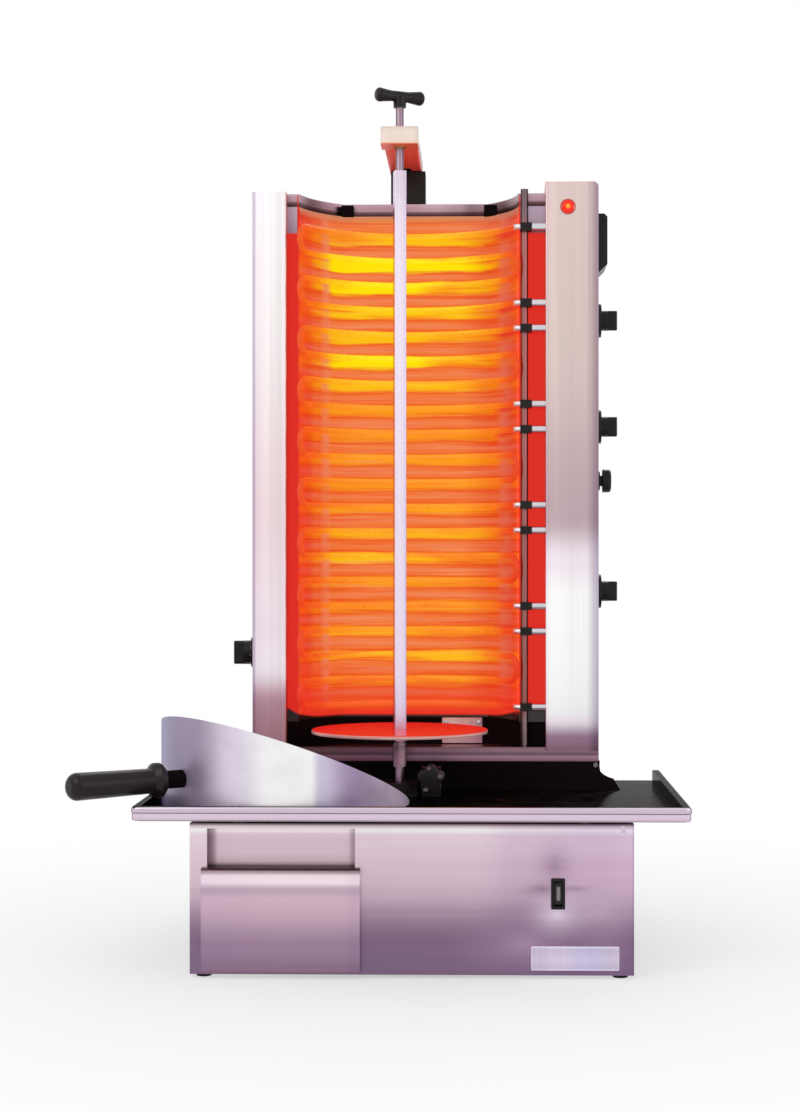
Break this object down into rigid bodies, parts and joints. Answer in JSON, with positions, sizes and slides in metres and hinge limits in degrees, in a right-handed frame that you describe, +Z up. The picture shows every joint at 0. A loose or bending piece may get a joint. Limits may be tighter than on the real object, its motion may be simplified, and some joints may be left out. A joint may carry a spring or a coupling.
{
  "type": "electric doner kebab grill",
  "caption": "Upright electric doner grill: turning spit and plate before a concave glowing heater, catch tray, scoop, grease drawer, side dials",
  "frame": {"origin": "middle of the cabinet's footprint, on the worktop", "axes": "+X to the right seen from the front, +Y away from the cook, +Z up"},
  "size_m": [0.7094, 0.5633, 1.0738],
  "materials": {
    "steel_sheet": "brushed, horizontal grain",
    "steel_column": "brushed, upright grain",
    "tray_steel": "polished",
    "inner_steel": "plain sheet",
    "reflector_steel": "polished, heat tinted",
    "element_sheath": "glowing sheath",
    "bright_steel": "polished",
    "spit_steel": "drawn bar",
    "plate_steel": "turned",
    "scoop_steel": "brushed",
    "black_paint": "satin heat-resistant",
    "black_cast": "painted",
    "black_plastic": "moulded",
    "handle_plastic": "moulded",
    "red_button": "moulded",
    "lamp_red": "lit lens",
    "head_enamel": "cream enamel",
    "gearbox_alloy": "cast",
    "motor_paint": "satin",
    "bush_brass": "turned",
    "plate_alloy": "bare rating plate",
    "foot_rubber": "plain"
  },
  "bodies": {
    "cabinet": {"cabinet_shell": "steel_sheet", "front_panel": "steel_sheet", "bottom_plate": "inner_steel", "feet": "foot_rubber", "deck_plate": "inner_steel", "catch_tray": "tray_steel", "recess_panel": "steel_sheet", "drawer_runners": "inner_steel", "rocker_bezel": "black_plastic", "name_plate": "plate_alloy", "plate_rivets": "bright_steel", "plinth": "black_paint", "heater_floor": "steel_sheet", "left_column": "steel_column", "right_column": "steel_column", "top_hood": "steel_sheet", "reflector": "reflector_steel", "lower_shroud": "black_paint", "rear_panel": "steel_sheet", "element_sleeves": "bright_steel", "support_rail": "inner_steel", "rail_clips": "black_cast", "corner_clips": "black_paint", "arm_post": "black_paint", "knob_plates": "black_plastic", "control_switches": "black_plastic", "side_cover": "black_plastic", "lamp_bezel": "bright_steel", "lamp_lens": "lamp_red", "cable_gland": "black_plastic", "casing_screws": "bright_steel", "heating_element_1": "element_sheath", "heating_element_2": "element_sheath", "heating_element_3": "element_sheath", "heating_element_4": "element_sheath", "heating_element_5": "element_sheath"},
    "drawer": {"drawer_box": "inner_steel", "drawer_front": "steel_sheet"},
    "power_rocker": {"rocker_button": "black_plastic"},
    "spit_carriage": {"bearing_block": "black_cast", "gearbox_casing": "gearbox_alloy", "motor_can": "motor_paint"},
    "carriage_clamp": {"clamp_knob": "black_plastic"},
    "spit": {"spit_bar": "spit_steel", "meat_plate": "plate_steel", "drive_spindle": "bright_steel"},
    "upper_arm": {"top_arm": "steel_sheet", "arm_head": "head_enamel", "upper_bush": "bush_brass"},
    "top_lock": {"lock_pin": "bright_steel", "t_handle": "handle_plastic"},
    "zone_dial_top": {"zone_knob_1": "black_plastic"},
    "zone_dial_middle": {"zone_knob_2": "black_plastic"},
    "zone_dial_low": {"zone_knob_3": "black_plastic"},
    "left_dial": {"left_knob": "black_plastic"},
    "button": {"push_button": "red_button"},
    "scoop": {"scoop_pan": "scoop_steel", "scoop_ferrule": "black_paint", "scoop_grip": "handle_plastic"}
  },
  "joints": [
    {"name": "drawer_slide", "type": "slide", "parent": "cabinet", "child": "drawer", "axis": [0, -1, 0], "range_m": [0, 0.24]},
    {"name": "rocker_tilt", "type": "hinge", "parent": "cabinet", "child": "power_rocker", "pos_m": [0.16875, -0.231, 0.09785], "axis": [1, 0, 0], "range_deg": [0, 12]},
    {"name": "carriage_slide", "type": "slide", "parent": "cabinet", "child": "spit_carriage", "axis": [0, 1, 0], "range_m": [-0.012, 0.02]},
    {"name": "arm_slide", "type": "slide", "parent": "cabinet", "child": "upper_arm", "axis": [0, 1, 0], "range_m": [-0.012, 0.02]},
    {"name": "clamp_turn", "type": "hinge", "parent": "spit_carriage", "child": "carriage_clamp", "pos_m": [0.0186, -0.055, 0.211], "axis": [0, -1, 0], "range_deg": [0, 360]},
    {"name": "spit_spin", "type": "hinge", "parent": "spit_carriage", "child": "spit", "pos_m": [-0.022, -0.01, 0.269], "axis": [0, 0, 1], "continuous": true},
    {"name": "pin_lift", "type": "slide", "parent": "upper_arm", "child": "top_lock", "axis": [0, 0, 1], "range_m": [0, 0.04]},
    {"name": "top_dial_turn", "type": "hinge", "parent": "cabinet", "child": "zone_dial_top", "pos_m": [0.2315, 0.09, 0.7936], "axis": [1, 0, 0], "range_deg": [0, 270]},
    {"name": "middle_dial_turn", "type": "hinge", "parent": "cabinet", "child": "zone_dial_middle", "pos_m": [0.2315, 0.09, 0.6553], "axis": [1, 0, 0], "range_deg": [0, 270]},
    {"name": "low_dial_turn", "type": "hinge", "parent": "cabinet", "child": "zone_dial_low", "pos_m": [0.2315, 0.09, 0.4412], "axis": [1, 0, 0], "range_deg": [0, 270]},
    {"name": "left_dial_turn", "type": "hinge", "parent": "cabinet", "child": "left_dial", "pos_m": [-0.2144, 0.09, 0.361], "axis": [-1, 0, 0], "range_deg": [0, 270]},
    {"name": "button_press", "type": "slide", "parent": "cabinet", "child": "button", "axis": [-1, 0, 0], "range_m": [0, 0.003], "stiffness_N_per_m": 600},
    {"name": "scoop_lift", "type": "slide", "parent": "cabinet", "child": "scoop", "axis": [0, 0, 1], "range_m": [0, 0.06]}
  ],
  "couplings": [
    {"joint": "arm_slide", "follows": "carriage_slide", "ratio": 1}
  ]
}
